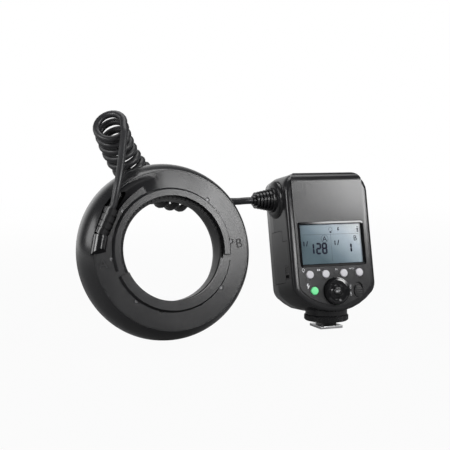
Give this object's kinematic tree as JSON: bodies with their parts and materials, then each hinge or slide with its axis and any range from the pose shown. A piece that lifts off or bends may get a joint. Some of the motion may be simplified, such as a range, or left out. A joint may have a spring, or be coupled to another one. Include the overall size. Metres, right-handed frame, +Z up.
{
  "type": "macro ring flash",
  "caption": "Macro ring flash: a ring light head that clips round a lens, joined by a curly cord to a hot-shoe controller with display, dial and keys.",
  "frame": {"origin": "middle of the shoe foot's underside", "axes": "+Z up out of the camera's shoe, +Y towards the subject, +X to the operator's right"},
  "size_m": [0.2272, 0.0814, 0.1662],
  "materials": {
    "charcoal_plastic": "fine satin grain",
    "black_plastic": "satin",
    "gloss_black": "polished",
    "boot_rubber": "smooth moulded",
    "cord_jacket": "smooth soft jacket",
    "key_grey": "satin",
    "key_green": "satin translucent",
    "steel": "plated",
    "foot_metal": "brushed and plated",
    "contact_gold": "gold plated",
    "board": "solder mask",
    "diffuser": "moulded prism pattern",
    "reflector_foil": "bright foil",
    "tube_glass": "clear",
    "display_glass": "clear",
    "display": "lit display",
    "white_plastic": "moulded",
    "lamp": "clear over white",
    "sleeve_film": "shrink sleeve",
    "red_window": "dark red polished"
  },
  "bodies": {
    "flash": {"ring_housing": "charcoal_plastic", "ring_rear_cover": "charcoal_plastic", "mount_lip": "charcoal_plastic", "bore_sleeve": "black_plastic", "diffuser_window": "diffuser", "reflector": "reflector_foil", "flash_tube_a": "tube_glass", "flash_tube_b": "tube_glass", "tube_sockets": "white_plastic", "focus_lamps": "lamp", "ring_board": "board", "ring_screws": "steel", "cord_boss": "gloss_black", "ring_boot": "boot_rubber", "cord_tail": "cord_jacket", "cord_curls": "cord_jacket", "cord_lead": "cord_jacket", "controller_boot": "boot_rubber", "gland_collar": "boot_rubber", "front_cover": "charcoal_plastic", "rear_shell": "charcoal_plastic", "lcd_bezel": "gloss_black", "lcd_glass": "display_glass", "lcd_module": "display", "main_board": "board", "switches": "black_plastic", "encoder": "black_plastic", "capacitor": "sleeve_film", "battery_bay": "black_plastic", "battery_contacts": "contact_gold", "assist_window": "red_window", "case_screws": "steel", "shoe_base": "black_plastic", "shoe_foot": "foot_metal", "shoe_contacts": "contact_gold", "foot_screws": "steel"},
    "jaw": {"latch_jaw": "charcoal_plastic", "jaw_springs": "steel"},
    "dial": {"dial": "black_plastic"},
    "set_button": {"set_button": "black_plastic"},
    "test_button": {"test_button": "key_green"},
    "power_switch": {"power_switch": "black_plastic"},
    "battery": {"battery": "charcoal_plastic"},
    "battery_latch": {"battery_latch": "black_plastic"},
    "lock_ring": {"lock_ring": "black_plastic"},
    "clamp_plate": {"clamp_plate": "black_plastic"},
    "lock_pin": {"lock_pin": "steel"},
    "function_button_1": {"function_button_1": "key_grey"},
    "function_button_2": {"function_button_2": "key_grey"},
    "function_button_3": {"function_button_3": "key_grey"},
    "function_button_4": {"function_button_4": "key_grey"}
  },
  "joints": [
    {"name": "dial_spin", "type": "hinge", "parent": "flash", "child": "dial", "pos_m": [0, -0.0164, 0.0298], "axis": [0, -0.9781, 0.2079], "continuous": true},
    {"name": "set_button_press", "type": "slide", "parent": "flash", "child": "set_button", "axis": [0, 0.9781, -0.2079], "range_m": [0, 0.0006], "stiffness_N_per_m": 1500, "springref_m": -0.0004},
    {"name": "function_button_1_press", "type": "slide", "parent": "flash", "child": "function_button_1", "axis": [0, 0.9781, -0.2079], "range_m": [0, 0.0006], "stiffness_N_per_m": 1500, "springref_m": -0.0004},
    {"name": "function_button_2_press", "type": "slide", "parent": "flash", "child": "function_button_2", "axis": [0, 0.9781, -0.2079], "range_m": [0, 0.0006], "stiffness_N_per_m": 1500, "springref_m": -0.0004},
    {"name": "function_button_3_press", "type": "slide", "parent": "flash", "child": "function_button_3", "axis": [0, 0.9781, -0.2079], "range_m": [0, 0.0006], "stiffness_N_per_m": 1500, "springref_m": -0.0004},
    {"name": "function_button_4_press", "type": "slide", "parent": "flash", "child": "function_button_4", "axis": [0, 0.9781, -0.2079], "range_m": [0, 0.0006], "stiffness_N_per_m": 1500, "springref_m": -0.0004},
    {"name": "test_button_press", "type": "slide", "parent": "flash", "child": "test_button", "axis": [0, 0.9781, -0.2079], "range_m": [0, 0.0006], "stiffness_N_per_m": 1500, "springref_m": -0.0004},
    {"name": "power_switch_slide", "type": "slide", "parent": "flash", "child": "power_switch", "axis": [0, 0.2079, 0.9781], "range_m": [0, 0.0026]},
    {"name": "jaw_slide", "type": "slide", "parent": "flash", "child": "jaw", "axis": [0.0993, -0.1728, -0.9799], "range_m": [0, 0.0025], "stiffness_N_per_m": 900, "springref_m": -0.002, "deforming": ["jaw_springs"]},
    {"name": "battery_slide", "type": "slide", "parent": "flash", "child": "battery", "axis": [-1, 0, 0], "range_m": [0, 0.028]},
    {"name": "battery_latch_slide", "type": "slide", "parent": "battery", "child": "battery_latch", "axis": [0, -0.2079, -0.9781], "range_m": [0, 0.0022], "stiffness_N_per_m": 500, "springref_m": -0.001},
    {"name": "lock_ring_turn", "type": "hinge", "parent": "flash", "child": "lock_ring", "pos_m": [0, 0, 0.008], "axis": [0, 0, 1], "range_deg": [0, 180]},
    {"name": "clamp_plate_slide", "type": "slide", "parent": "flash", "child": "clamp_plate", "axis": [0, 0, -1], "range_m": [0, 0.0014]},
    {"name": "lock_pin_slide", "type": "slide", "parent": "flash", "child": "lock_pin", "axis": [0, 0, -1], "range_m": [0, 0.0012]}
  ],
  "couplings": [
    {"joint": "clamp_plate_slide", "follows": "lock_ring_turn", "m_per_rad": 0.00044563},
    {"joint": "lock_pin_slide", "follows": "lock_ring_turn", "m_per_rad": 0.00038197}
  ]
}
